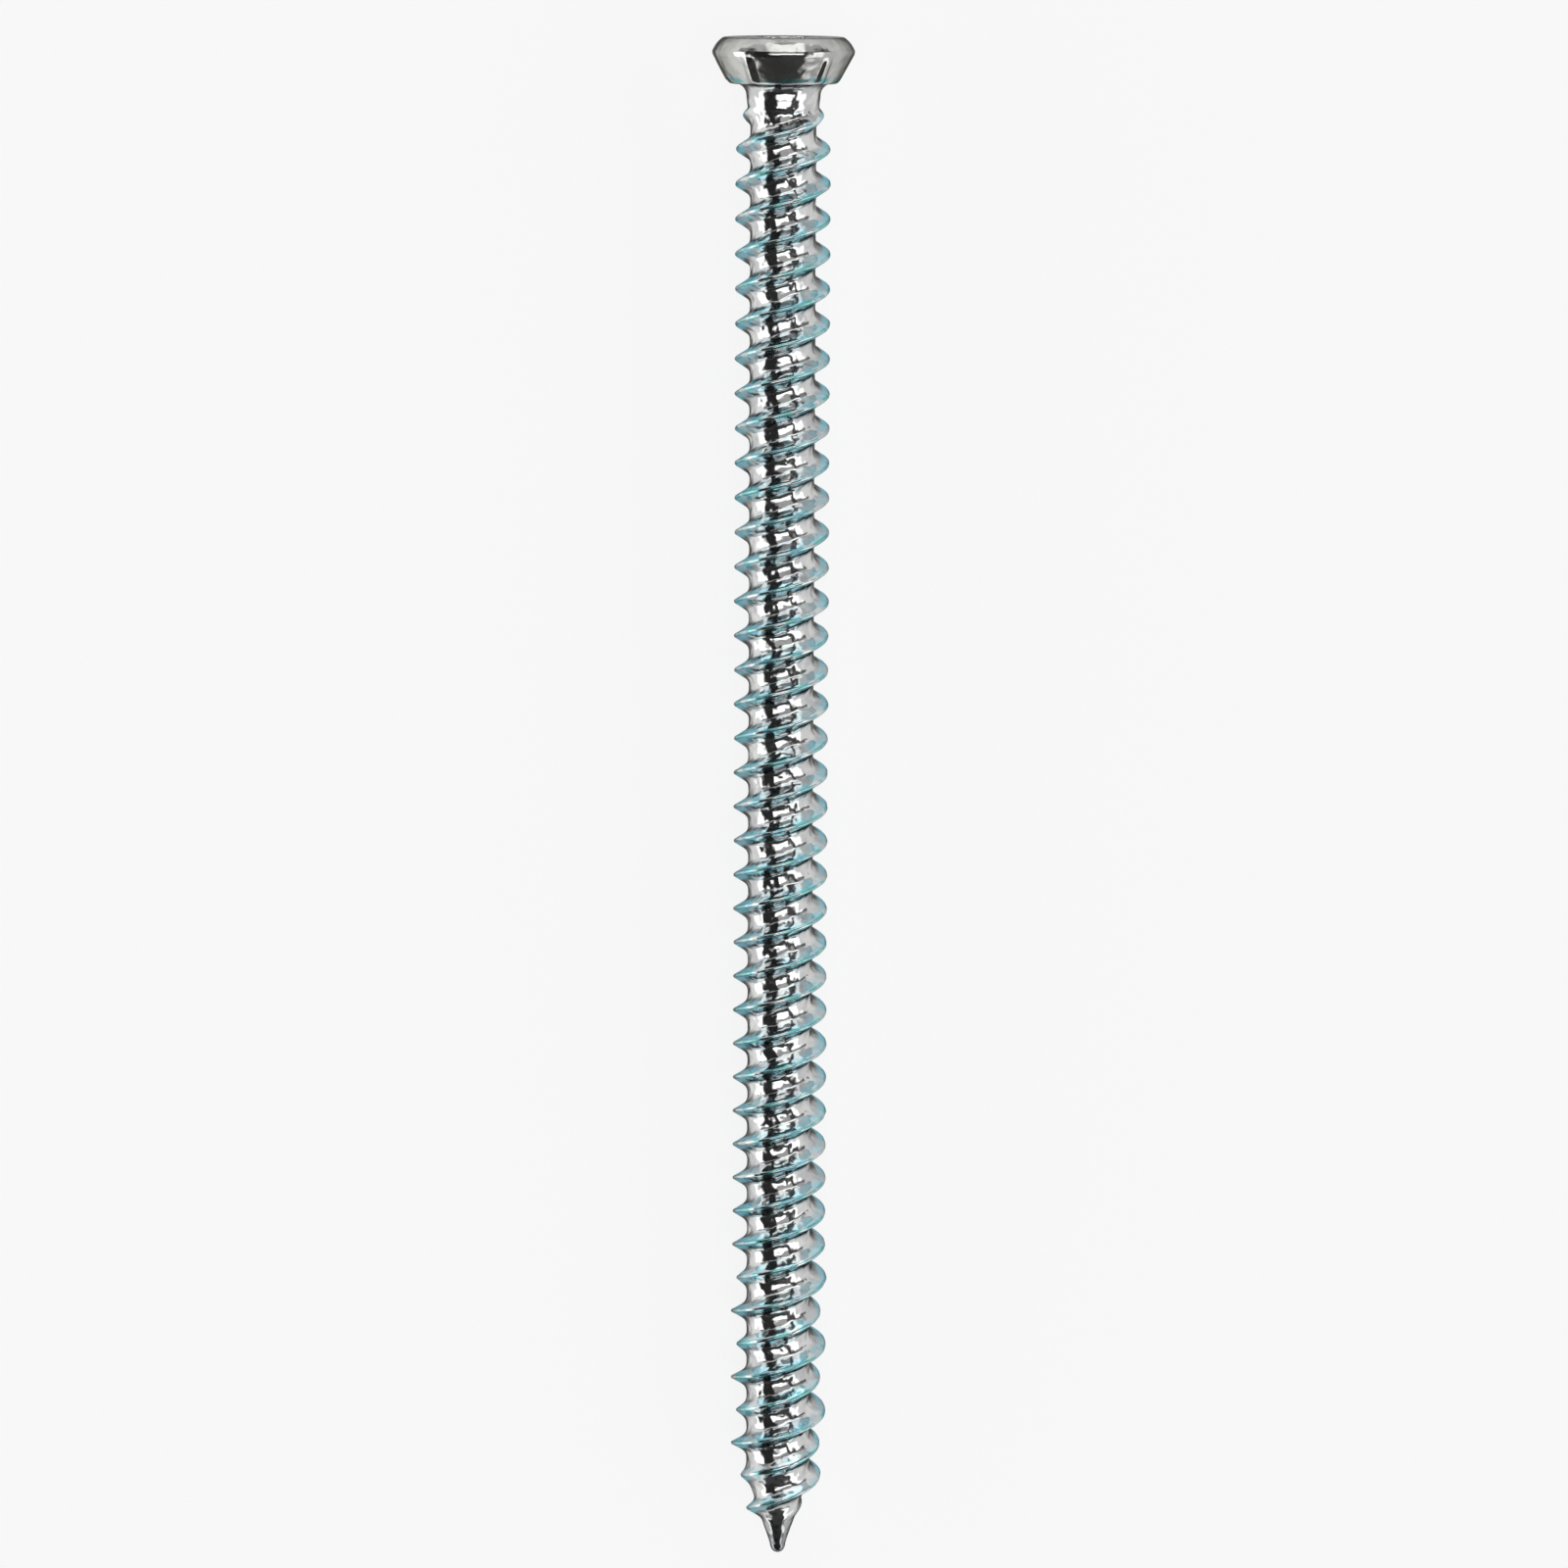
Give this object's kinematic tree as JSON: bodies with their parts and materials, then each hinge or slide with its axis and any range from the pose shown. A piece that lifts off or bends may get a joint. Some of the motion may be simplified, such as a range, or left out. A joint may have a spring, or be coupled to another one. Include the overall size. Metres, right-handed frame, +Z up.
{
  "type": "concrete screw",
  "caption": "Zinc plated self-tapping screw with a small countersunk head, a six-lobe recess and a coarse thread over its whole shank, for fixing frames to masonry.",
  "frame": {"origin": "on the ground, under the middle of the lying screw", "axes": "+Y towards the head, along the screw as it lies; +Z up; the axis rises by a degree towards the head"},
  "size_m": [0.0112, 0.122, 0.0112],
  "materials": {
    "zinc_plated_steel": "bright electroplated zinc with a faint blue-green passivation"
  },
  "bodies": {
    "root": {"screw": "zinc_plated_steel"}
  },
  "joints": []
}
